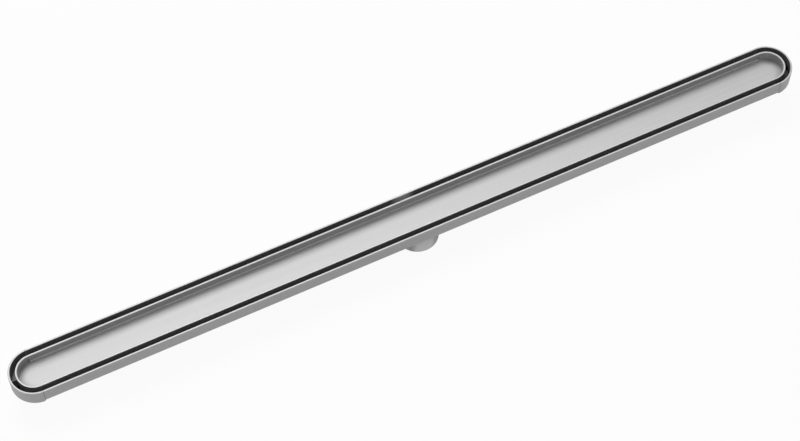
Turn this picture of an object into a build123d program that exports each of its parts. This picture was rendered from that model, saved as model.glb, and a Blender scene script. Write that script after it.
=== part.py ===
from build123d import *
import os

os.makedirs("parts", exist_ok=True)

# Linear shower drain: a slim channel with half-round ends, a tile tray that rests
# inside it on saddles and feet, and a round outlet under the middle.
# Millimetres. The origin is the centre of the outlet's lower end, +Z is up and
# +X runs along the channel.

# Channel
overall_length = 1100.0
channel_width = 65.0
channel_wall = 2.5
channel_depth = 20.5
channel_floor = 2.0
channel_inner_chamfer = 1.0
channel_outer_chamfer = 0.6
rim_chamfer = 0.3

# Channel ends, with a tongue that is bonded under the channel floor
tongue_thickness = 2.5
tongue_length = 16.0
tongue_setback = 3.0
tongue_corner_radius = 5.0
channel_seal_thickness = 0.8

# Tile tray
slot_width = 6.5
tray_wall = 2.5
tray_floor = 1.5
tray_inner_chamfer = 0.4
tray_outer_chamfer = 0.6
ledge_width = 1.0
ledge_height = 3.3
ledge_radius = 0.3

# Tray ends, with a tongue under the tray floor and a relief slot at each joint
tray_tongue_thickness = 1.2
tray_tongue_length = 14.0
tray_tongue_inset = 3.0
tray_tongue_overlap = 8.0
relief_top = 6.0
relief_floor_gap = 1.0
relief_width = 1.0
relief_depth = 0.8

# Saddles and feet under the tray
saddle_height = 3.0
saddle_length = 9.0
saddle_count = 4
saddle_pitch = 250.0
saddle_end_distance = 117.5
saddle_web = 1.2
saddle_leg = 2.0
saddle_arch_count = 5
saddle_arch_chamfer = 0.7
saddle_chamfer = 0.8
fin_height = 5.5
channel_clearance = 0.3
foot_pad_start = 12.0
foot_arch_length = 5.0
foot_clearance = 0.1

# Outlet: a pipe with a turned neck in a flange plate, sealed under the channel floor
outlet_drop = 55.0
spigot_radius = 27.9
spigot_wall = 2.7
spigot_chamfer = 1.5
neck_wall = 1.6
neck_clearance = 0.2
neck_recess = 0.3
flange_half_length = 46.0
flange_half_width = 29.0
flange_corner_radius = 12.0
flange_thickness = 4.5
flange_edge_chamfer = 0.6
seal_thickness = 1.0

# Countersunk screws round the outlet
screw_radius = 1.75
screw_head_radius = 3.5
screw_length = 7.0
screw_clearance = 0.05
screw_x = 37.0
screw_y = 17.0

# Places worked out from the sizes above
rim_z = outlet_drop
channel_base_z = rim_z - channel_depth
channel_floor_z = channel_base_z + channel_floor
tongue_base_z = channel_base_z - tongue_thickness
channel_half = channel_width / 2
channel_inner_half = channel_half - channel_wall
arc_x = overall_length / 2 - channel_half
tray_half = channel_inner_half - slot_width
tray_inner_half = tray_half - tray_wall
tray_recess = channel_depth - channel_floor - saddle_height - tray_floor
relief_bottom = tray_recess - relief_floor_gap
fin_half = channel_inner_half - channel_clearance
bore_radius = spigot_radius - spigot_wall
neck_radius = bore_radius + neck_wall
neck_top_z = channel_floor_z - neck_recess
outlet_hole_radius = neck_radius + neck_clearance
flange_top_z = channel_base_z - seal_thickness
flange_base_z = flange_top_z - flange_thickness


def u_section(half_width, wall, depth, floor, inner_chamfer, outer_chamfer):
    """U section with its rim at height zero and its middle at zero."""
    outside = Pos(0, -depth / 2) * Rectangle(2 * half_width, depth)
    hollow_depth = depth - floor
    hollow = Pos(0, -hollow_depth / 2) * Rectangle(2 * (half_width - wall), hollow_depth)
    section = outside - hollow
    section = chamfer(section.vertices().group_by(Axis.Y)[-1], rim_chamfer)
    section = chamfer(section.vertices().group_by(Axis.Y)[1], inner_chamfer)
    return chamfer(section.vertices().group_by(Axis.Y)[0], outer_chamfer)


def right_half(section, half_width, depth):
    """The half of a section from its middle to the right."""
    return section & Pos(half_width, -depth) * Rectangle(2 * half_width, 4 * depth)


def straight_run(section, length):
    """Section extruded along X about the middle, with its rim at the rim height."""
    return Pos(0, 0, rim_z) * extrude(Plane.YZ * section, length / 2, both=True)


def half_round_end(section, half_width, depth, start):
    """Section turned about the end's centre, kept beyond a joint plane."""
    ring = revolve(Plane.XZ * right_half(section, half_width, depth), Axis.Z)
    end = split(ring, bisect_by=Plane.YZ.offset(start), keep=Keep.TOP)
    return Pos(arc_x, 0, rim_z) * end


def screw(grow=0):
    """Countersunk screw with its head's top at height zero, made larger to cut its hole."""
    head_height = screw_head_radius - screw_radius
    profile = Polyline(
        (0, 0),
        (screw_head_radius + grow, 0),
        (screw_radius + grow, -head_height),
        (screw_radius + grow, -screw_length),
        (0, -screw_length),
        close=True,
    )
    return revolve(Plane.XZ * make_face(profile), Axis.Z)


def at_screw_places(shape):
    """One of this shape for each screw round the outlet, level with the channel floor."""
    places = Pos(0, 0, channel_floor_z) * GridLocations(2 * screw_x, 2 * screw_y, 2, 2)
    return [place * shape for place in places]


def screw_holes():
    """Cutters for the screws, a clearance larger than the screws."""
    return at_screw_places(screw(screw_clearance))


def channel_profile():
    """Section of the straight channel."""
    return u_section(channel_half, channel_wall, channel_depth, channel_floor,
                     channel_inner_chamfer, channel_outer_chamfer)


def channel_trough():
    """Straight channel with the outlet hole and the countersunk screw holes."""
    trough = straight_run(channel_profile(), 2 * arc_x)
    outlet_hole = Pos(0, 0, channel_base_z) * Cylinder(outlet_hole_radius, 2 * channel_depth)
    return trough - outlet_hole - screw_holes()


def channel_end():
    """Half-round channel end whose floor steps down into a tongue under the channel."""
    depth = channel_depth + tongue_thickness
    floor = channel_floor + tongue_thickness
    section = u_section(channel_half, channel_wall, depth, floor,
                        channel_inner_chamfer, channel_outer_chamfer)
    end = half_round_end(section, channel_half, depth, channel_seal_thickness)
    reach = tongue_length + channel_seal_thickness + channel_wall
    tongue_width = channel_width - 2 * tongue_setback
    tongue = Box(reach, tongue_width, tongue_thickness, align=(Align.MIN, Align.CENTER, Align.MIN))
    free_corners = tongue.edges().filter_by(Axis.Z).group_by(Axis.X)[0]
    tongue = fillet(free_corners, tongue_corner_radius)
    return end + Pos(arc_x - tongue_length, 0, tongue_base_z) * tongue


def channel_seal():
    """Thin seal with the channel's section, between the channel and its right end."""
    seal = extrude(Plane.YZ * channel_profile(), channel_seal_thickness)
    return Pos(arc_x, 0, rim_z) * seal


def outlet_plate(thickness, hole_radius):
    """Plate with the outlet's outline and a round hole, its top at height zero."""
    outline = RectangleRounded(2 * flange_half_length, 2 * flange_half_width, flange_corner_radius)
    return extrude(outline - Circle(hole_radius), -thickness)


def outlet_seal():
    """Flat seal between the channel floor and the outlet's flange."""
    seal = Pos(0, 0, channel_base_z) * outlet_plate(seal_thickness, outlet_hole_radius)
    return seal - screw_holes()


def outlet_flange():
    """Flange plate with the neck's hole and four threaded holes."""
    flange = Pos(0, 0, flange_top_z) * outlet_plate(flange_thickness, neck_radius)
    base_face = flange.faces().sort_by(Axis.Z)[0]
    flange = chamfer(base_face.outer_wire().edges(), flange_edge_chamfer)
    return flange - screw_holes()


def outlet_pipe():
    """Pipe whose turned neck passes through the flange, the seal and the channel floor."""
    half_section = Polyline(
        (bore_radius, 0),
        (spigot_radius - spigot_chamfer, 0),
        (spigot_radius, spigot_chamfer),
        (spigot_radius, flange_base_z),
        (neck_radius, flange_base_z),
        (neck_radius, neck_top_z),
        (bore_radius, neck_top_z),
        close=True,
    )
    return revolve(Plane.XZ * make_face(half_section), Axis.Z)


def outlet_screws():
    """Four screws round the outlet."""
    return at_screw_places(screw())


def tray_profile():
    """Section of the tile tray, without its ledges."""
    return u_section(tray_half, tray_wall, tray_recess + tray_floor, tray_floor,
                     tray_inner_chamfer, tray_outer_chamfer)


def tray_trough():
    """Straight tile tray with a ledge along the foot of each wall."""
    ledge = Rectangle(ledge_width + tray_wall / 2, ledge_height + tray_floor / 2,
                      align=(Align.MIN, Align.MAX))
    inner_corner = ledge.vertices().group_by(Axis.Y)[-1].sort_by(Axis.X)[0]
    ledge = fillet(inner_corner, ledge_radius)
    ledge = Pos(tray_inner_half - ledge_width, ledge_height - tray_recess) * ledge
    section = tray_profile() + ledge + mirror(ledge, Plane.YZ)
    return straight_run(section, 2 * arc_x)


def tray_end():
    """Half-round tray end with its tongue and the relief slots at its joint."""
    end = half_round_end(tray_profile(), tray_half, tray_recess + tray_floor, 0)
    tongue_width = 2 * (tray_inner_half - tray_tongue_inset)
    tongue = Box(tray_tongue_length + tray_tongue_overlap, tongue_width, tray_tongue_thickness,
                 align=(Align.MIN, Align.CENTER, Align.MAX))
    end += Pos(arc_x - tray_tongue_length, 0, channel_floor_z + saddle_height) * tongue
    relief = Box(relief_width, 2 * (tray_inner_half + relief_depth), relief_bottom - relief_top,
                 align=(Align.MIN, Align.CENTER, Align.MAX))
    return end - Pos(arc_x, 0, rim_z - relief_top) * relief


def saddle_profile():
    """Section across the channel of one saddle, with a row of arches underneath."""
    fin_width = fin_half - tray_half
    section = Rectangle(2 * fin_half, saddle_height, align=(Align.CENTER, Align.MIN))
    fin = Rectangle(fin_width, fin_height, align=(Align.MAX, Align.MIN))
    fin = chamfer(fin.vertices().group_by(Axis.Y)[-1].sort_by(Axis.X)[-1], saddle_chamfer)
    section += Pos(fin_half, 0) * fin
    section += mirror(Pos(fin_half, 0) * fin, Plane.YZ)
    base_corners = section.vertices().group_by(Axis.Y)[0]
    section = chamfer(base_corners, channel_inner_chamfer)
    arch_width = (2 * fin_half - saddle_leg) / saddle_arch_count - saddle_leg
    arch_height = saddle_height - saddle_web
    arch = Rectangle(arch_width, arch_height, align=(Align.CENTER, Align.MIN))
    arch = chamfer(arch.vertices().group_by(Axis.Y)[-1], saddle_arch_chamfer)
    arch_pitch = arch_width + saddle_leg
    arches = GridLocations(arch_pitch, 0, saddle_arch_count, 1)
    return section - [place * arch for place in arches]


def tray_saddle(x):
    """Saddle under the tray at this distance along the channel."""
    solid = extrude(Plane.YZ * saddle_profile(), saddle_length / 2, both=True)
    return Pos(x, 0, channel_floor_z) * solid


def tray_foot():
    """Foot under the right tray end, with a nose that rises in the slot."""
    nose_start = tray_half + foot_clearance
    side = Rectangle(fin_half - foot_pad_start, saddle_height, align=(Align.MAX, Align.MIN))
    side += Rectangle(fin_half - nose_start, fin_height, align=(Align.MAX, Align.MIN))
    outer_corner = side.vertices().group_by(Axis.Y)[0].sort_by(Axis.X)[-1]
    side = chamfer(outer_corner, channel_inner_chamfer)
    ring = revolve(Plane.XZ * (Pos(fin_half, 0) * side), Axis.Z)
    width_box = Box(channel_width, saddle_length, channel_depth,
                    align=(Align.MIN, Align.CENTER, Align.MIN))
    foot = ring & width_box
    foot = chamfer(foot.faces().sort_by(Axis.Z)[-1].edges(), saddle_chamfer / 2)
    arch_middle = (foot_pad_start + nose_start) / 2
    arch = Box(foot_arch_length, 2 * saddle_length, saddle_height - saddle_web,
               align=(Align.CENTER, Align.CENTER, Align.MIN))
    foot -= Pos(arch_middle, 0, 0) * arch
    return Pos(arc_x, 0, channel_floor_z) * foot


def saddle_positions():
    """Distances of the saddles along the channel, in pairs, counted in from the tray's joints."""
    right = [arc_x - saddle_end_distance - i * saddle_pitch for i in range(saddle_count // 2)]
    return sorted([-x for x in right] + right)


def write(name, shapes):
    """Write one node; a list is written as a group of separate solids."""
    shape = Compound(children=shapes) if isinstance(shapes, list) else shapes
    export_step(shape, f"parts/{name}.step")


def write_pair(name, shape):
    """Write the right piece and its mirror image on the left."""
    write(f"{name}_right", shape)
    write(f"{name}_left", mirror(shape, Plane.YZ))


write("channel_trough", channel_trough())
write_pair("channel_end", channel_end())
write_pair("channel_seal", channel_seal())
write("outlet_pipe", outlet_pipe())
write("outlet_flange", outlet_flange())
write("outlet_seal", outlet_seal())
write("outlet_screws", outlet_screws())
write("tray_trough", tray_trough())
write_pair("tray_end", tray_end())
write_pair("tray_foot", tray_foot())
for number, x in enumerate(saddle_positions(), start=1):
    write(f"tray_saddle_{number}", tray_saddle(x))
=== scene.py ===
import math
import bmesh
import bpy
from mathutils import Matrix, Vector


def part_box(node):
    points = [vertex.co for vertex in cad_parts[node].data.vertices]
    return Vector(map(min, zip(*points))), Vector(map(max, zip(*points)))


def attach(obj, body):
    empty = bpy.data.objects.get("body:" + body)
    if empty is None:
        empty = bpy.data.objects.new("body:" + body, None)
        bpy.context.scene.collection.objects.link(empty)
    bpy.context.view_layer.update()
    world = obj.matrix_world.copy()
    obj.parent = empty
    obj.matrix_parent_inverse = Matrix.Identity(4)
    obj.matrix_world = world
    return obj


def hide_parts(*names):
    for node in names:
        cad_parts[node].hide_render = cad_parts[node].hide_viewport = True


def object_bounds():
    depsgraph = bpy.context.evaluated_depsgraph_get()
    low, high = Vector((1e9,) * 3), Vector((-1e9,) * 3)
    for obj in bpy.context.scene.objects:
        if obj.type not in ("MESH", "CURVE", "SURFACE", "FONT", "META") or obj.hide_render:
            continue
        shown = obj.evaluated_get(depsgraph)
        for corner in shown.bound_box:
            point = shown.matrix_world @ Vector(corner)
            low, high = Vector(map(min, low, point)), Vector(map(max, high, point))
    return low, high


# Linear shower drain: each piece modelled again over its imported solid, with rounded
# edges and its own finish. Metres, +Z up, +X along the channel, origin at the centre
# of the outlet's lower end.

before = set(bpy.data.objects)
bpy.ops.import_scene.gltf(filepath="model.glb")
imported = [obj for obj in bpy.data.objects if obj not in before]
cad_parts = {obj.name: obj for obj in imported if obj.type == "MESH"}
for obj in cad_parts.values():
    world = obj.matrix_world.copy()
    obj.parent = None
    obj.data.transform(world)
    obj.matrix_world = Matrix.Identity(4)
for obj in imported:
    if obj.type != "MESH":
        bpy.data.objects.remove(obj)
cad_low, cad_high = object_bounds()

MM = 0.001

# Levels and half widths read from the frame
rim_z = cad_high.z
channel_half = cad_high.y
trough_low, trough_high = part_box("channel_trough")
tray_low, tray_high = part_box("tray_trough")
joint_x = trough_high.x
tray_half = tray_high.y
end_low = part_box("channel_end_right")[0]
tray_end_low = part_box("tray_end_right")[0]
pipe_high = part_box("outlet_pipe")[1]
flange_low, flange_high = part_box("outlet_flange")
seal_low, seal_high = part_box("outlet_seal")
saddle_low, saddle_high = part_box("tray_saddle_1")

# Walls, floors and the tile recess, as the solids have them
channel_wall = 2.5 * MM
channel_floor = 2.0 * MM
tray_wall = 2.5 * MM
tray_recess = 14.0 * MM
ledge_width = 1.0 * MM
ledge_height = 3.3 * MM
seal_thickness = 0.8 * MM

# Depths and places worked out from the values above
channel_depth = rim_z - trough_low.z
end_depth = rim_z - end_low.z
tray_depth = rim_z - tray_low.z
tray_floor = tray_depth - tray_recess
channel_inner_half = channel_half - channel_wall
tray_inner_half = tray_half - tray_wall
channel_floor_z = trough_low.z + channel_floor
saddle_half_length = (saddle_high.x - saddle_low.x) / 2
fin_half = saddle_high.y
fin_height = saddle_high.z - saddle_low.z
saddle_height = tray_low.z - channel_floor_z
ledge_edge = tray_inner_half - ledge_width
ledge_depth = tray_recess - ledge_height

# Roundings and steps of the new pieces
rim_rounding = 0.3 * MM
open_rim_rounding = 1.1 * MM
channel_inner_rounding = 1.0 * MM
tray_inner_rounding = 0.4 * MM
outer_rounding = 0.6 * MM
channel_roundings = (channel_inner_rounding, rim_rounding, open_rim_rounding, outer_rounding)
tray_roundings = (tray_inner_rounding, open_rim_rounding, rim_rounding, outer_rounding)
ledge_rounding = 0.3 * MM
arc_middle = (1 - math.sqrt(0.5)) * open_rim_rounding
small_rounding = 0.2 * MM
corner_segments = 4
end_steps = 64
turn_steps = 128
merge_distance = 0.001 * MM
round_angle = math.radians(35)
straight_share = 0.999

# Tongues and relief slots at the joints
channel_tongue_half = channel_half - 3.0 * MM
channel_tongue_rounding = 5.0 * MM
tongue_corner_segments = 8
tray_tongue_half = tray_inner_half - 3.0 * MM
tray_tongue_overlap = 8.0 * MM
relief_top = 6.0 * MM
relief_bottom = 13.0 * MM
relief_width = 1.0 * MM
relief_depth = 0.8 * MM

# Outlet
spigot_radius = pipe_high.y
bore_radius = spigot_radius - 2.7 * MM
neck_radius = bore_radius + 1.6 * MM
outlet_hole_radius = neck_radius + 0.2 * MM
spigot_chamfer = 1.5 * MM
flange_base_z = flange_low.z
flange_corner_radius = 12.0 * MM
flange_corner_segments = 12
flange_edge_rounding = 0.6 * MM
screw_radius = 1.75 * MM
screw_head_radius = 3.5 * MM
screw_length = 7.0 * MM
screw_clearance = 0.05 * MM
cutter_lift = 0.005 * MM
screw_x = 37.0 * MM
screw_y = 17.0 * MM
socket_size = 1.3 * MM
socket_depth = 1.1 * MM
socket_sides = 6
thread_start = 0.6 * MM
thread_pitch = 0.6 * MM
thread_depth = 0.3 * MM
thread_turns = 7

# Saddles and feet
saddle_count = 4
saddle_web = 1.2 * MM
saddle_leg = 2.0 * MM
saddle_arch_count = 5
saddle_arch_rounding = 0.7 * MM
saddle_rounding = 0.8 * MM
arch_base_z = channel_floor_z - saddle_web
arch_top_z = tray_low.z - saddle_web
foot_pad_start = 12.0 * MM
foot_arch_length = 5.0 * MM
foot_clearance = 0.1 * MM

# Patterns of the finishes: cells of noise to a metre, or to a metre of X, Y and Z
drawn_fine = (2.5, 1100, 1100)
drawn_broad = (0.8, 260, 260)
drawn_fine_share = 0.85
cloud_stretch = (25, 60, 60)
blasted_scale = 1500.0
turned_scale = 1400.0
moulded_scale = 1800.0
moulded_cloud_scale = 90.0
noise_low = 0.3
noise_high = 0.7

# Metal
metal_grey = 0.66
metal_share = 0.1
metal_dark = 0.88
metal_pale = 1.11
cloud_share = 0.4
metal_roughness = 0.38
grain_roughness = 0.18
cloud_roughness = 0.08
worn_smoothness = 0.12
metal_bump = 0.6
metal_bump_depth = 0.02 * MM
edge_soft = 0.1 * MM

# Worn edges, a painted highlight along the tray's ledge, and rims whose top is polished and
# painted paler as a highlight
pale_edge_grey = 0.82
wear_reach = 0.45 * MM
corner_core = 0.3
rim_wear = 0.8
ledge_highlight_share = 0.9
ledge_highlight_end = 0.01
turned_wear = 0.7
rim_grey = 0.93
rim_polish_and_highlight = 0.35
rim_top = 0.5 * rim_rounding

# Slot: painted shade on the faces that look into it, darker deep in the right end, and a painted
# pool of light on the far wall above the outlet
slot_shade_grey = 0.23
slot_edge = 0.2 * MM
deep_shade_grey = 0.03
deep_shade_start = 8.0 * MM
deep_shade_end = 14.0 * MM
outlet_light_grey = 0.8
outlet_light_x = -7.0 * MM
outlet_light_half = 4.0 * MM
outlet_light_reach = 19.0 * MM

# Painted shade inside the tile recess and painted shadow in its relief slots, as shares of black
wall_shade = 0.4
wall_reach = 0.3 * MM
ledge_shade = 0.12
ledge_unshaded = 1.2 * MM
tip_shade = 0.1
right_less_shade = 0.55
floor_shade = 0.42
floor_shade_tip = 0.7
end_shade_reach = 12.0 * MM
relief_shadow_grey = 0.01

# Painted shade on the outlet pipe, towards the flange and on its sides
pipe_grey = 0.8
painted_shade_grey = 0.2
upper_shade = 0.3
upper_shade_end_z = 6.0 * MM
left_shade = 0.6
left_shade_start = -0.7 * spigot_radius
left_shade_end = -0.4 * spigot_radius
right_shade = 0.7
right_shade_start = 0.15 * spigot_radius
right_shade_end = 0.65 * spigot_radius

# Plastic and rubber
moulded_variation = 0.2
moulded_grain_roughness = 0.12
moulded_worn_smoothness = 0.1
moulded_bump = 0.2
moulded_bump_depth = 0.03 * MM
moulded_specular = 0.15

# Corners that wear, as distance from the middle line or axis and depth below the rim
fin_top_depth = rim_z - saddle_high.z
pipe_corners = [(spigot_radius, rim_z), (bore_radius, rim_z)]
flange_corners = [(spigot_radius, rim_z - flange_base_z)]
head_corners = [(screw_head_radius, rim_z - channel_floor_z)]
fin_corners = [(fin_half, fin_top_depth), (tray_half, fin_top_depth)]
seal_corners = [(channel_half, 0), (channel_inner_half, 0)]

# Camera
view_target = Vector((-0.02589, -0.00267, rim_z))
view_heading = math.radians(25.87)
view_elevation = math.radians(58.07)
view_distance = 2.654
view_roll = math.radians(-0.205)
lens_length = 94.465
sensor_width = 36.0
camera_reach = 50.0

# Light
sky_colour = (0.172, 0.171, 0.182, 1.0)
key_place = Vector((-0.1, 1.83, 3.45))
key_aim = Vector((-1.2, 0.0, rim_z))
key_power = 58.3
key_size = 3.0
key_spread = math.radians(130)
floor_reach = 8.0
floor_grey = 0.76
floor_seen_grey = 0.98
floor_glow_share = 0.94

# Sockets of the Mix node when it mixes colours; their names stand for several sockets
mix_share = 0
mix_first = 6
mix_second = 7
mix_result = 2


def shade(value):
    """Linear grey as a colour."""
    return (value, value, value, 1.0)


class Field:
    """A number that varies over a surface, with arithmetic that adds Math nodes."""

    def __init__(self, finish, socket):
        self.finish = finish
        self.socket = socket

    def __add__(self, other):
        return self.finish.math("ADD", self, other)

    def __sub__(self, other):
        return self.finish.math("SUBTRACT", self, other)

    def __rsub__(self, other):
        return self.finish.math("SUBTRACT", other, self)

    def __mul__(self, other):
        return self.finish.math("MULTIPLY", self, other)

    def __truediv__(self, other):
        return self.finish.math("DIVIDE", self, other)

    def __pow__(self, other):
        return self.finish.math("POWER", self, other)

    def __abs__(self):
        return self.finish.math("ABSOLUTE", self)

    def above(self, low, high):
        """Zero below the low value, one above the high value, smooth between."""
        settings = {"interpolation_type": "SMOOTHSTEP"}
        sockets = {"Value": self, "From Min": low, "From Max": high}
        return self.finish.node("ShaderNodeMapRange", settings, sockets)

    def between(self, low, high):
        """One between two values, with edges a little soft, and zero outside."""
        rise = self.above(low - edge_soft, low + edge_soft)
        fall = self.above(high - edge_soft, high + edge_soft)
        return rise * (1 - fall)

    __radd__ = __add__
    __rmul__ = __mul__


class Finish:
    """The shader nodes of one material, or of the sky, while they are made."""

    def __init__(self, tree):
        self.tree = tree
        self.tree.nodes.clear()

    def node(self, kind, settings=None, sockets=None, output=0):
        """Add a node, set it, fill its sockets with values or links, and return an output,
        or a list of outputs where their names are given."""
        node = self.tree.nodes.new(kind)
        for name, value in (settings or {}).items():
            setattr(node, name, value)
        for key, value in (sockets or {}).items():
            if isinstance(value, Field):
                self.tree.links.new(value.socket, node.inputs[key])
            else:
                node.inputs[key].default_value = value
        if isinstance(output, tuple):
            return [Field(self, node.outputs[name]) for name in output]
        return Field(self, node.outputs[output])

    def math(self, operation, *values):
        """A number worked out from others."""
        return self.node("ShaderNodeMath", {"operation": operation}, dict(enumerate(values)))

    def place(self):
        """Object coordinates."""
        return self.node("ShaderNodeTexCoord", output="Object")

    def stretched(self, stretch):
        """Object coordinates, stretched along the axes."""
        return self.node("ShaderNodeMapping", None, {"Vector": self.place(), "Scale": stretch})

    def axes(self):
        """Object coordinates as three numbers."""
        return self.node("ShaderNodeSeparateXYZ", None, {"Vector": self.place()}, ("X", "Y", "Z"))

    def noise(self, place, scale, detail=2.0, roughness=0.5):
        """Noise about one half over these places."""
        sockets = {"Vector": place, "Scale": scale, "Detail": detail, "Roughness": roughness}
        return self.node("ShaderNodeTexNoise", {"normalize": True}, sockets)

    def section_measures(self):
        """Distance from the middle line, depth below the rim, and the share of the way round
        from a joint to the tip of a half-round end."""
        x, y, z = self.axes()
        beyond = self.math("MAXIMUM", abs(x) - joint_x, 0.0)
        away = (beyond * beyond + y * y) ** 0.5
        return away, rim_z - z, beyond / away

    def turned_measures(self, centre_x=0.0, centre_y=0.0):
        """Distance from the nearest upright axis, and depth below the rim."""
        x, y, z = self.axes()
        across = abs(x) - centre_x
        along = abs(y) - centre_y
        return (across * across + along * along) ** 0.5, rim_z - z

    def mix(self, share, first, second):
        """Colour between two colours."""
        settings = {"data_type": "RGBA"}
        sockets = {mix_share: share, mix_first: first, mix_second: second}
        return self.node("ShaderNodeMix", settings, sockets, mix_result)

    def tint(self, share, first, second):
        """Colour between two greys, each a plain number."""
        return self.mix(share, shade(first), shade(second))

    def bump(self, height, strength, distance):
        """Normal from a height field."""
        sockets = {"Height": height, "Strength": strength, "Distance": distance}
        return self.node("ShaderNodeBump", None, sockets)

    def surface(self, **sockets):
        """End with a Principled shader; an underscore stands for a space."""
        named = {name.replace("_", " "): value for name, value in sockets.items()}
        self.end(self.node("ShaderNodeBsdfPrincipled", None, named), "ShaderNodeOutputMaterial")

    def end(self, shader, kind):
        """Send the shader to the output."""
        self.node(kind, None, {"Surface": shader}, ())


def new_material(name):
    """A material and the finish that its nodes are made with."""
    material = bpy.data.materials.new(name)
    material.use_nodes = True
    return material, Finish(material.node_tree)


def drawn_lines(finish):
    """Fine and broader lines along X, as an extrusion die leaves them."""
    fine = finish.noise(finish.stretched(drawn_fine), 1.0, detail=3.0, roughness=0.6)
    broad = finish.noise(finish.stretched(drawn_broad), 1.0, detail=2.0, roughness=0.5)
    fine = fine.above(noise_low, noise_high) * drawn_fine_share
    return fine + broad.above(noise_low, noise_high) * (1 - drawn_fine_share)


def blasted_grain(finish):
    """Fine even grain of a blasted surface."""
    grain = finish.noise(finish.place(), blasted_scale, detail=4.0, roughness=0.7)
    return grain.above(noise_low, noise_high)


def turned_lines(finish, radius, depth):
    """Fine rings round an axis, as a lathe leaves them."""
    rings = finish.node("ShaderNodeCombineXYZ", None, {"X": radius, "Y": depth})
    lines = finish.noise(rings, turned_scale, detail=2.0, roughness=0.6)
    return lines.above(noise_low, noise_high)


def clouded(finish):
    """Slow cloudy variation."""
    return finish.noise(finish.stretched(cloud_stretch), 1.0, detail=3.0, roughness=0.55)


def near_corners(finish, away, depth, corners, reach):
    """One at these corners of a section, given as distance and depth, fading over the reach."""
    near = 0.0
    for corner_away, corner_depth in corners:
        across = away - corner_away
        down = depth - corner_depth
        gap = (across * across + down * down) ** 0.5
        near = near + (1 - gap.above(corner_core * reach, reach))
    return finish.math("MINIMUM", near, 1.0)


def recess_painted_shade(finish, away, depth, tip):
    """How far the painted shade inside the tile recess darkens it, on its walls and at its ends.
    """
    wall = away.between(tray_inner_half - wall_reach, tray_half - wall_reach)
    ledge_face = away.between(ledge_edge - wall_reach, tray_inner_half)
    walls = wall * depth.between(rim_rounding, tray_recess - edge_soft)
    ledge_walls = ledge_face * depth.between(ledge_depth + ledge_unshaded, tray_recess - edge_soft)
    x = finish.axes()[0]
    # Less painted shade on the right end's inner curve
    less_shade = x.above(joint_x, joint_x + MM) * tip * (1 - tip) * right_less_shade
    walls = walls * (wall_shade + tip_shade * tip - less_shade)
    upright = finish.math("MAXIMUM", walls, ledge_walls * ledge_shade)
    floor = depth.between(tray_recess - 2 * edge_soft, tray_recess + tray_floor / 2)
    foot = away.above(tray_inner_half - end_shade_reach, tray_inner_half)
    return upright + floor * foot * tip.above(0.0, floor_shade_tip) * floor_shade


def relief_shadow(finish, away, depth):
    """One inside the relief slots at the tray's joints."""
    x = finish.axes()[0]
    inside = abs(x).between(joint_x - edge_soft, joint_x + relief_width)
    inside = inside * away.above(tray_inner_half + edge_soft, tray_inner_half + 2 * edge_soft)
    inside = inside * depth.between(relief_top, relief_bottom)
    return inside * (1 - away.above(tray_half - relief_depth, tray_half))


def polished_and_highlighted_rim(finish, depth, colour):
    """The colour with the rim's top paler, as a polish and as a painted highlight."""
    top = 1 - depth.above(rim_top, rim_rounding)
    return finish.mix(top * rim_polish_and_highlight, colour, shade(rim_grey))


def metal_surface(finish, grain, clouds, colour, paler_edges, metallic):
    """Satin metal: the grain lifts the surface, and the given edges are paler and smoother: worn
    edges, and on the tray a painted highlight along its ledge.
    """
    colour = finish.mix(paler_edges, colour, shade(pale_edge_grey))
    rough = metal_roughness + grain_roughness * grain + cloud_roughness * clouds
    rough = rough - worn_smoothness * paler_edges
    normal = finish.bump(grain, metal_bump, metal_bump_depth)
    finish.surface(Base_Color=colour, Metallic=metallic, Roughness=rough, Normal=normal)


def plain_metal_colour(finish, grain, clouds, grey):
    """The grey, varied by the clouds and the grain."""
    share = clouds * cloud_share + grain * (1 - cloud_share)
    return finish.tint(share, grey * metal_dark, grey * metal_pale)


def channel_finish(name, grain_of, depth_of_piece):
    """Channel metal, with painted shade where it looks into the slot, darker still deep in the
    right end, a painted pool of light on the far wall above the outlet, and a rim top that is
    polished and painted paler as a highlight.
    """
    material, finish = new_material(name)
    away, depth = finish.section_measures()[:2]
    grain = grain_of(finish)
    clouds = clouded(finish)
    colour = plain_metal_colour(finish, grain, clouds, metal_grey)
    # The rim's top paler, as a polish and as a painted highlight
    colour = polished_and_highlighted_rim(finish, depth, colour)
    # Painted shade on the faces that look into the slot
    slot_face = 1 - away.above(channel_inner_half + slot_edge, channel_inner_half + 2 * slot_edge)
    slot_face = slot_face * (1 - depth.above(channel_depth - channel_floor, channel_depth))
    x, y = finish.axes()[:2]
    # Painted shade, darker deep in the slot at the right end
    deep_shade = depth.above(deep_shade_start, deep_shade_end) * x.above(joint_x, joint_x + channel_half / 2)
    # Painted pool of light on the far wall above the outlet
    outlet_light = (1 - abs(x - outlet_light_x).above(outlet_light_half, outlet_light_reach)) * y.above(0.0, MM)
    slot_shade_and_light = finish.mix(outlet_light, finish.tint(deep_shade, slot_shade_grey, deep_shade_grey), shade(outlet_light_grey))
    colour = finish.mix(slot_face, colour, slot_shade_and_light)
    corners = [(channel_half - arc_middle, arc_middle), (channel_half, depth_of_piece)]
    paler_edges = near_corners(finish, away, depth, corners, wear_reach) * clouds * rim_wear
    metal_surface(finish, grain, clouds, colour, paler_edges, metal_share)
    return material


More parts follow.
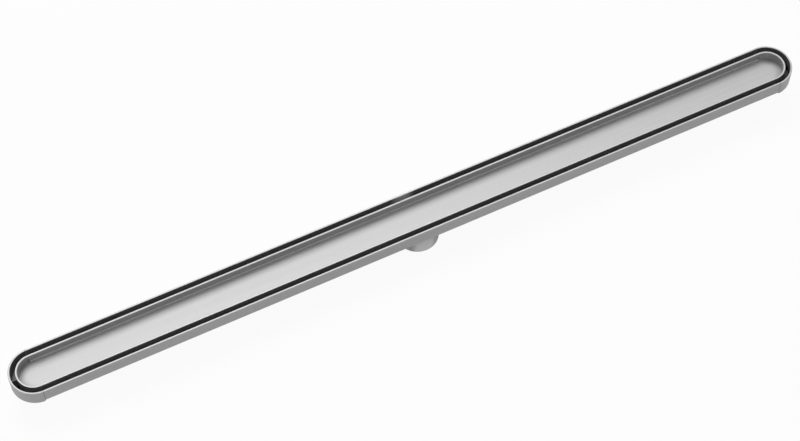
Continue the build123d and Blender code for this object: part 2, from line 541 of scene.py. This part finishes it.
def tray_finish(name, grain_of):
    """Tray metal, with painted shade in its recess, in its relief slots and where it looks into
    the slot, a painted highlight along its ledge, and a rim top that is polished and painted paler
    as a highlight.
    """
    material, finish = new_material(name)
    away, depth, tip = finish.section_measures()
    grain = grain_of(finish)
    clouds = clouded(finish)
    colour = plain_metal_colour(finish, grain, clouds, metal_grey)
    # Painted shade inside the tile recess, and painted shadow in the relief slots
    colour = finish.mix(recess_painted_shade(finish, away, depth, tip), colour, shade(0.0))
    colour = finish.mix(relief_shadow(finish, away, depth), colour, shade(relief_shadow_grey))
    # The rim's top paler, as a polish and as a painted highlight
    colour = polished_and_highlighted_rim(finish, depth, colour)
    # Painted shade on the faces that look into the slot
    slot_face = away.above(tray_half - 2 * slot_edge, tray_half - slot_edge)
    colour = finish.mix(slot_face, colour, shade(slot_shade_grey))
    rim_arc = [(tray_inner_half + arc_middle, arc_middle)]
    rims = near_corners(finish, away, depth, rim_arc, wear_reach)
    # Painted highlight along the top of the ledge, on the straight tray only
    ledge_top = [(ledge_edge, ledge_depth), (tray_inner_half, ledge_depth)]
    ledge = near_corners(finish, away, depth, ledge_top, ledge_width)
    ledge = ledge * (1 - tip.above(0.0, ledge_highlight_end))
    paler_edges = rims * clouds * rim_wear + ledge * ledge_highlight_share
    metal_surface(finish, grain, clouds, colour, paler_edges, metal_share)
    return material


def pipe_painted_shade(finish, depth):
    """How far the painted shade darkens the pipe, towards the flange and on its sides along the
    channel.
    """
    x = finish.axes()[0]
    upper = 1 - depth.above(rim_z - flange_base_z, rim_z - upper_shade_end_z)
    left = 1 - x.above(left_shade_start, left_shade_end)
    right = x.above(right_shade_start, right_shade_end)
    return upper * upper_shade + left * left_shade + right * right_shade


def turned_finish(name, grey, metallic, corners, centre=(0.0, 0.0), painted_shade_of=None):
    """Turned metal with fine rings, and painted shade where a function for it is given."""
    material, finish = new_material(name)
    radius, depth = finish.turned_measures(*centre)
    grain = turned_lines(finish, radius, depth)
    clouds = clouded(finish)
    colour = plain_metal_colour(finish, grain, clouds, grey)
    # Painted shade, where a function for it is given
    if painted_shade_of:
        colour = finish.mix(painted_shade_of(finish, depth), colour, shade(painted_shade_grey))
    paler_edges = near_corners(finish, radius, depth, corners, wear_reach) * clouds * turned_wear
    metal_surface(finish, grain, clouds, colour, paler_edges, metallic)
    return material


def moulded_finish(name, grey, worn_to, roughness, corners):
    """Moulded plastic or rubber with an eroded grain and rubbed edges."""
    material, finish = new_material(name)
    away, depth = finish.section_measures()[:2]
    grain = finish.noise(finish.place(), moulded_scale, detail=2.0, roughness=0.6)
    clouds = finish.noise(finish.place(), moulded_cloud_scale, detail=3.0, roughness=0.5)
    colour = finish.tint(clouds, grey * (1 - moulded_variation), grey * (1 + moulded_variation))
    paler_edges = near_corners(finish, away, depth, corners, wear_reach) * clouds
    colour = finish.mix(paler_edges, colour, shade(worn_to))
    rough = roughness + moulded_grain_roughness * grain - moulded_worn_smoothness * paler_edges
    normal = finish.bump(grain, moulded_bump, moulded_bump_depth)
    finish.surface(Base_Color=colour, Roughness=rough, Normal=normal,
                   Specular_IOR_Level=moulded_specular)
    return material


# The finishes, made once and shared by the pieces
channel_metal = channel_finish("channel_metal", drawn_lines, channel_depth)
channel_end_metal = channel_finish("channel_end_metal", blasted_grain, end_depth)
tray_metal = tray_finish("tray_metal", drawn_lines)
tray_end_metal = tray_finish("tray_end_metal", blasted_grain)
# The pipe's metal, with painted shade towards the flange and on its sides
pipe_metal = turned_finish("pipe_metal", grey=pipe_grey, metallic=0.35, corners=pipe_corners,
                           painted_shade_of=pipe_painted_shade)
flange_metal = turned_finish("flange_metal", grey=metal_grey, metallic=metal_share,
                             corners=flange_corners)
screw_steel = turned_finish("screw_steel", grey=0.42, metallic=0.4, corners=head_corners,
                            centre=(screw_x, screw_y))
foot_plastic = moulded_finish("foot_plastic", grey=0.02, worn_to=0.05, roughness=0.75,
                              corners=fin_corners)
seal_rubber = moulded_finish("seal_rubber", grey=0.44, worn_to=0.55, roughness=0.7,
                             corners=seal_corners)


def rounded_section(corners):
    """A bmesh with one face through (across, up, rounding) corners, in the XZ plane."""
    shape = bmesh.new()
    points = [shape.verts.new((across, 0, up)) for across, up, rounding in corners]
    shape.faces.new(points)
    for point, corner in zip(points, corners):
        if corner[2] > 0:
            bmesh.ops.bevel(shape, geom=[point], offset=corner[2], affect="VERTICES",
                            segments=corner_segments, profile=0.5, material=-1)
    return shape


def half_u_corners(half, wall, depth, floor, roundings):
    """Corners of a U section's half, from the middle of its floor to the underside's middle."""
    return [
        (0, floor - depth, 0),
        (half - wall, floor - depth, roundings[0]),
        (half - wall, 0, roundings[1]),
        (half, 0, roundings[2]),
        (half, -depth, roundings[3]),
        (0, -depth, 0),
    ]


def both_halves(corners):
    """Corners of the whole section, from those of its half, without the middle points."""
    side = [corner for corner in corners if corner[0] > 0]
    return side + [(-across, up, rounding) for across, up, rounding in reversed(side)]


def run_along(shape, start, end):
    """Extrude a section from one place to another along X, with its rim at the rim height."""
    bmesh.ops.rotate(shape, verts=shape.verts, matrix=Matrix.Rotation(math.pi / 2, 3, "Z"))
    bmesh.ops.translate(shape, verts=shape.verts, vec=(start, 0, rim_z))
    swept = bmesh.ops.extrude_face_region(shape, geom=shape.faces)
    moved = [part for part in swept["geom"] if isinstance(part, bmesh.types.BMVert)]
    bmesh.ops.translate(shape, verts=moved, vec=(end - start, 0, 0))
    return closed(shape)


def half_turn(shape):
    """Spin a half section round the right end's centre, with its rim at the rim height."""
    bmesh.ops.rotate(shape, verts=shape.verts, matrix=Matrix.Rotation(-math.pi / 2, 3, "Z"))
    bmesh.ops.translate(shape, verts=shape.verts, vec=(joint_x, 0, rim_z))
    bmesh.ops.spin(shape, geom=shape.faces[:] + shape.edges[:] + shape.verts[:],
                   cent=(joint_x, 0, 0), axis=(0, 0, 1), angle=math.pi, steps=end_steps)
    return closed(shape)


def full_turn(shape):
    """Spin a section's outline all round the upright axis."""
    bmesh.ops.delete(shape, geom=shape.faces[:], context="FACES_ONLY")
    on_axis = [edge for edge in shape.edges
               if all(abs(end.co.x) < merge_distance for end in edge.verts)]
    bmesh.ops.delete(shape, geom=on_axis, context="EDGES")
    bmesh.ops.spin(shape, geom=shape.edges[:] + shape.verts[:], cent=(0, 0, 0), axis=(0, 0, 1),
                   angle=math.tau, steps=turn_steps, use_merge=True)
    return closed(shape)


def closed(shape):
    """Merge doubles and turn the faces outwards."""
    bmesh.ops.remove_doubles(shape, verts=shape.verts, dist=merge_distance)
    bmesh.ops.recalc_face_normals(shape, faces=shape.faces)
    return shape


def box_between(low, high):
    """Closed box between two corners."""
    shape = bmesh.new()
    bmesh.ops.create_cube(shape, size=1)
    bmesh.ops.scale(shape, verts=shape.verts, vec=Vector(high) - Vector(low))
    bmesh.ops.translate(shape, verts=shape.verts, vec=(Vector(high) + Vector(low)) / 2)
    return shape


def rod_between(radius, low, high, sides=turn_steps):
    """Closed upright rod on the outlet's axis, between two heights."""
    shape = bmesh.new()
    bmesh.ops.create_cone(shape, cap_ends=True, segments=sides, radius1=radius, radius2=radius,
                          depth=high - low)
    bmesh.ops.translate(shape, verts=shape.verts, vec=(0, 0, (high + low) / 2))
    return shape


def edges_level(shape, axis, place):
    """Edges that lie in one plane square to an axis."""
    return [edge for edge in shape.edges
            if all(abs(end.co[axis] - place) < merge_distance for end in edge.verts)]


def edges_along(shape, axis, place=None):
    """Edges that run along an axis, all of them or those at one place along X."""
    found = []
    for edge in shape.edges:
        run = edge.verts[1].co - edge.verts[0].co
        if abs(run.normalized()[axis]) > straight_share:
            if place is None or abs(edge.verts[0].co.x - place) < merge_distance:
                found.append(edge)
    return found


def round_edges(shape, edges, rounding, segments):
    """Round these edges in place."""
    bmesh.ops.bevel(shape, geom=edges, offset=rounding, affect="EDGES",
                    segments=segments, profile=0.5, material=-1)


def mesh_object(name, shape):
    """Object from a bmesh, which is freed."""
    mesh = bpy.data.meshes.new(name)
    shape.to_mesh(mesh)
    shape.free()
    made = bpy.data.objects.new(name, mesh)
    bpy.context.scene.collection.objects.link(made)
    return made


def combine(piece, shape, operation):
    """Join a closed shape to a piece, or cut it out of it."""
    tool = mesh_object("tool", shape)
    boolean = piece.modifiers.new("combine", "BOOLEAN")
    boolean.operation = operation
    boolean.solver = "EXACT"
    boolean.object = tool
    view = bpy.context.evaluated_depsgraph_get()
    result = bpy.data.meshes.new_from_object(piece.evaluated_get(view))
    piece.modifiers.remove(boolean)
    piece.data = result
    bpy.data.objects.remove(tool)


def finish_piece(piece, material, slot_name, *nodes):
    """Smooth shading with even normals, the material, and the place in the object."""
    shape = bmesh.new()
    shape.from_mesh(piece.data)
    closed(shape)
    for face in shape.faces:
        face.smooth = True
    for edge in shape.edges:
        edge.smooth = not edge.is_manifold or edge.calc_face_angle() < round_angle
    shape.to_mesh(piece.data)
    shape.free()
    even = piece.modifiers.new("even_normals", "WEIGHTED_NORMAL")
    even.keep_sharp = True
    piece.data.materials.clear()
    piece.data.materials.append(material)
    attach(piece, "root")
    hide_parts(*nodes)


def mirror_piece(piece, name):
    """Copy of a right piece, mirrored to the left."""
    shape = bmesh.new()
    shape.from_mesh(piece.data)
    bmesh.ops.scale(shape, verts=shape.verts, vec=(-1, 1, 1))
    return mesh_object(name, closed(shape))


def screw_places():
    """Heads' centres of the four outlet screws."""
    return [Vector((i * screw_x, j * screw_y, channel_floor_z)) for i in (-1, 1) for j in (-1, 1)]


def screw_shape(grow=0.0, turns=0):
    """Countersunk screw on the origin's axis with its top at height zero, grown by a clearance,
    and with as many turns of thread."""
    head = screw_head_radius - screw_radius
    corners = [
        (0, 0, 0),
        (screw_head_radius + grow, 0, 0),
        (screw_radius + grow, -head, 0),
    ]
    for i in range(turns):
        crest = -head - thread_start - i * thread_pitch
        corners.append((screw_radius, crest, 0))
        corners.append((screw_radius - thread_depth, crest - thread_pitch / 2, 0))
    corners.append((screw_radius + grow, -screw_length, 0))
    corners.append((0, -screw_length, 0))
    return full_turn(rounded_section(corners))


def cut_screw_holes(piece):
    """Cut the four screws' holes, a clearance wider than the screws."""
    for place in screw_places():
        cutter = screw_shape(screw_clearance)
        lifted = place + Vector((0, 0, cutter_lift))
        bmesh.ops.translate(cutter, verts=cutter.verts, vec=lifted)
        combine(piece, cutter, "DIFFERENCE")


def channel_section():
    """Section of the straight channel and of the seals in its joints."""
    half = half_u_corners(channel_half, channel_wall, channel_depth, channel_floor,
                          channel_roundings)
    return rounded_section(both_halves(half))


def channel_run():
    """Straight channel with its outlet hole and countersunk holes."""
    run = mesh_object("channel", run_along(channel_section(), -joint_x, joint_x))
    combine(run, rod_between(outlet_hole_radius, flange_high.z, tray_low.z), "DIFFERENCE")
    cut_screw_holes(run)
    finish_piece(run, channel_metal, "channel_metal", "channel_trough")


def channel_seals():
    """Thin seals with the channel's section, one in each joint."""
    seal = run_along(channel_section(), joint_x, joint_x + seal_thickness)
    right = mesh_object("channel_right_seal", seal)
    left = mirror_piece(right, "channel_left_seal")
    finish_piece(right, seal_rubber, "seal_rubber", "channel_seal_right")
    finish_piece(left, seal_rubber, "seal_rubber", "channel_seal_left")


def channel_end():
    """Half-round channel end with the tongue that is bonded under the channel."""
    floor = channel_floor_z - end_low.z
    corners = half_u_corners(channel_half, channel_wall, end_depth, floor, channel_roundings)
    shape = half_turn(rounded_section(corners))
    start = joint_x + seal_thickness
    cut = bmesh.ops.bisect_plane(shape, geom=shape.verts[:] + shape.edges[:] + shape.faces[:],
                                 plane_co=(start, 0, 0), plane_no=(1, 0, 0), clear_inner=True)
    rim = [part for part in cut["geom_cut"] if isinstance(part, bmesh.types.BMEdge)]
    bmesh.ops.contextual_create(shape, geom=rim)
    end = mesh_object("channel_right_end", closed(shape))
    tongue = box_between((end_low.x, -channel_tongue_half, end_low.z),
                         (start + channel_wall, channel_tongue_half, trough_low.z))
    tongue_tip = edges_along(tongue, 2, end_low.x)
    round_edges(tongue, tongue_tip, channel_tongue_rounding, tongue_corner_segments)
    combine(end, tongue, "UNION")
    left = mirror_piece(end, "channel_left_end")
    finish_piece(end, channel_end_metal, "channel_end_metal", "channel_end_right")
    finish_piece(left, channel_end_metal, "channel_end_metal", "channel_end_left")


def tray_run():
    """Straight tile tray with a ledge along the foot of each wall."""
    plain = half_u_corners(tray_half, tray_wall, tray_depth, tray_floor, tray_roundings)
    ledge = [
        (ledge_edge, -tray_recess, 0),
        (ledge_edge, -ledge_depth, ledge_rounding),
        (tray_inner_half, -ledge_depth, 0),
    ]
    corners = both_halves(ledge + plain[2:])
    run = mesh_object("tray", run_along(rounded_section(corners), -joint_x, joint_x))
    finish_piece(run, tray_metal, "tray_metal", "tray_trough")


def tray_end():
    """Half-round tray end with its tongue and the relief slots at its joint."""
    corners = half_u_corners(tray_half, tray_wall, tray_depth, tray_floor, tray_roundings)
    end = mesh_object("tray_right_end", half_turn(rounded_section(corners)))
    tongue = box_between((tray_end_low.x, -tray_tongue_half, tray_end_low.z),
                         (joint_x + tray_tongue_overlap, tray_tongue_half, tray_low.z))
    combine(end, tongue, "UNION")
    relief_reach = tray_inner_half + relief_depth
    relief = box_between((joint_x - relief_width, -relief_reach, rim_z - relief_bottom),
                         (joint_x + relief_width, relief_reach, rim_z - relief_top))
    combine(end, relief, "DIFFERENCE")
    left = mirror_piece(end, "tray_left_end")
    finish_piece(end, tray_end_metal, "tray_end_metal", "tray_end_right")
    finish_piece(left, tray_end_metal, "tray_end_metal", "tray_end_left")


def pipe():
    """Outlet pipe with its turned neck."""
    corners = [
        (bore_radius, 0, rim_rounding),
        (spigot_radius - spigot_chamfer, 0, rim_rounding),
        (spigot_radius, spigot_chamfer, rim_rounding),
        (spigot_radius, flange_base_z, 0),
        (neck_radius, flange_base_z, 0),
        (neck_radius, pipe_high.z, rim_rounding),
        (bore_radius, pipe_high.z, rim_rounding),
    ]
    turned = mesh_object("pipe", full_turn(rounded_section(corners)))
    finish_piece(turned, pipe_metal, "outlet_metal", "outlet_pipe")


def outlet_plate(name, low, high, base_rounding, hole_radius):
    """Plate with the outlet's outline, a round hole and the screws' holes."""
    plate = box_between(low, high)
    round_edges(plate, edges_along(plate, 2), flange_corner_radius, flange_corner_segments)
    round_edges(plate, edges_level(plate, 2, low.z), base_rounding, corner_segments)
    made = mesh_object(name, plate)
    hole = rod_between(hole_radius, low.z - base_rounding, high.z + base_rounding)
    combine(made, hole, "DIFFERENCE")
    cut_screw_holes(made)
    return made


def flange():
    """Flange plate that holds the pipe's neck under the channel floor."""
    plate = outlet_plate("flange", flange_low, flange_high, flange_edge_rounding, neck_radius)
    finish_piece(plate, flange_metal, "outlet_metal", "outlet_flange")


def outlet_gasket():
    """Flat seal between the channel floor and the flange."""
    gasket = outlet_plate("gasket", seal_low, seal_high, small_rounding, outlet_hole_radius)
    finish_piece(gasket, seal_rubber, "seal_rubber", "outlet_seal")


def screws():
    """Four outlet screws with hexagonal sockets."""
    one = mesh_object("screws", screw_shape(turns=thread_turns))
    socket = rod_between(socket_size, -socket_depth, socket_depth, socket_sides)
    combine(one, socket, "DIFFERENCE")
    shape = bmesh.new()
    for place in screw_places():
        before = len(shape.verts)
        shape.from_mesh(one.data)
        bmesh.ops.translate(shape, verts=shape.verts[before:], vec=place)
    shape.to_mesh(one.data)
    shape.free()
    finish_piece(one, screw_steel, "screw_steel", "outlet_screws")


def saddle_shape():
    """Saddle across the channel at its middle, with a fin in each slot and arches below."""
    base = channel_floor_z - rim_z
    corners = both_halves([
        (0, base, 0),
        (fin_half, base, channel_inner_rounding),
        (fin_half, base + fin_height, saddle_rounding),
        (tray_half, base + fin_height, small_rounding),
        (tray_half, base + saddle_height, 0),
        (0, base + saddle_height, 0),
    ])
    shape = run_along(rounded_section(corners), -saddle_half_length, saddle_half_length)
    saddle = mesh_object("saddle", shape)
    arch_width = (2 * fin_half - saddle_leg) / saddle_arch_count - saddle_leg
    pitch = arch_width + saddle_leg
    for i in range(saddle_arch_count):
        middle = (i - (saddle_arch_count - 1) / 2) * pitch
        arch = box_between((-2 * saddle_half_length, middle - arch_width / 2, arch_base_z),
                           (2 * saddle_half_length, middle + arch_width / 2, arch_top_z))
        top = [edge for edge in edges_along(arch, 0) if edge.verts[0].co.z > channel_floor_z]
        round_edges(arch, top, saddle_arch_rounding, corner_segments)
        combine(saddle, arch, "DIFFERENCE")
    return saddle


def saddles():
    """The four saddles, copies of one."""
    pattern = saddle_shape()
    for number in range(1, saddle_count + 1):
        node_name = f"tray_saddle_{number}"
        low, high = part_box(node_name)
        shape = bmesh.new()
        shape.from_mesh(pattern.data)
        bmesh.ops.translate(shape, verts=shape.verts, vec=((low.x + high.x) / 2, 0, 0))
        saddle = mesh_object(f"saddle_{number}", shape)
        finish_piece(saddle, foot_plastic, "foot_plastic", node_name)
    bpy.data.objects.remove(pattern)


def feet():
    """Feet under the tray's ends, each with a nose that rises in the slot."""
    base = channel_floor_z - rim_z
    nose_start = tray_half + foot_clearance
    corners = [
        (foot_pad_start, base, small_rounding),
        (fin_half, base, channel_inner_rounding),
        (fin_half, base + fin_height, 2 * small_rounding),
        (nose_start, base + fin_height, 2 * small_rounding),
        (nose_start, base + saddle_height, 0),
        (foot_pad_start, base + saddle_height, small_rounding),
    ]
    foot = mesh_object("right_foot", half_turn(rounded_section(corners)))
    width = box_between((joint_x, -saddle_half_length, 0),
                        (joint_x + channel_half, saddle_half_length, rim_z))
    combine(foot, width, "INTERSECT")
    arch_middle = joint_x + (foot_pad_start + nose_start) / 2
    arch = box_between((arch_middle - foot_arch_length / 2, -channel_half, arch_base_z),
                       (arch_middle + foot_arch_length / 2, channel_half, arch_top_z))
    combine(foot, arch, "DIFFERENCE")
    left = mirror_piece(foot, "left_foot")
    finish_piece(foot, foot_plastic, "foot_plastic", "tray_foot_right")
    finish_piece(left, foot_plastic, "foot_plastic", "tray_foot_left")


channel_run()
channel_end()
channel_seals()
pipe()
flange()
outlet_gasket()
screws()
tray_run()
tray_end()
saddles()
feet()


def add_camera():
    """Camera at the photograph's viewing angle."""
    flat = math.cos(view_elevation)
    look = Vector((flat * math.sin(view_heading), flat * math.cos(view_heading),
                   -math.sin(view_elevation)))
    data = bpy.data.cameras.new("camera")
    data.sensor_fit = "HORIZONTAL"
    data.sensor_width = sensor_width
    data.lens = lens_length
    data.clip_end = camera_reach
    camera = bpy.data.objects.new("camera", data)
    turn = look.to_track_quat("-Z", "Y").to_matrix().to_4x4() @ Matrix.Rotation(view_roll, 4, "Z")
    camera.matrix_world = Matrix.Translation(view_target - look * view_distance) @ turn
    bpy.context.scene.collection.objects.link(camera)
    bpy.context.scene.camera = camera


def rays_that_see(finish):
    """One for the rays that see the background: camera, gloss and glass."""
    names = ("Is Camera Ray", "Is Glossy Ray", "Is Transmission Ray")
    camera, gloss, glass = finish.node("ShaderNodeLightPath", output=names)
    return finish.math("MAXIMUM", camera, finish.math("MAXIMUM", gloss, glass))


def add_sky():
    """Even grey light; the camera, gloss and glass see white."""
    world = bpy.data.worlds.new("sky")
    world.use_nodes = True
    finish = Finish(world.node_tree)
    colour = finish.mix(rays_that_see(finish), sky_colour, shade(1.0))
    background = finish.node("ShaderNodeBackground", None, {"Color": colour})
    finish.end(background, "ShaderNodeOutputWorld")
    bpy.context.scene.world = world


def add_key():
    """Soft key light from behind the far side, aimed towards the left end."""
    data = bpy.data.lights.new("key", "AREA")
    data.energy = key_power
    data.shape = "DISK"
    data.size = key_size
    data.spread = key_spread
    key = bpy.data.objects.new("key", data)
    aim = (key_aim - key_place).to_track_quat("-Z", "Y")
    key.matrix_world = Matrix.Translation(key_place) @ aim.to_matrix().to_4x4()
    bpy.context.scene.collection.objects.link(key)


def add_floor():
    """Pale floor that keeps a faint shadow."""
    shape = bmesh.new()
    bmesh.ops.create_grid(shape, x_segments=1, y_segments=1, size=floor_reach)
    mesh = bpy.data.meshes.new("floor")
    shape.to_mesh(mesh)
    shape.free()
    paint, finish = new_material("floor_paint")
    seen = rays_that_see(finish)
    colour = finish.tint(seen, floor_grey, floor_seen_grey)
    matt = finish.node("ShaderNodeBsdfDiffuse", None, {"Color": colour})
    glow = finish.node("ShaderNodeEmission", None, {"Color": shade(1.0), "Strength": 1.0})
    both = finish.node("ShaderNodeMixShader", None, {0: seen * floor_glow_share, 1: matt, 2: glow})
    finish.end(both, "ShaderNodeOutputMaterial")
    mesh.materials.append(paint)
    floor = bpy.data.objects.new("floor", mesh)
    bpy.context.scene.collection.objects.link(floor)


add_camera()
add_sky()
add_key()
add_floor()
bpy.context.scene.view_settings.view_transform = "Standard"
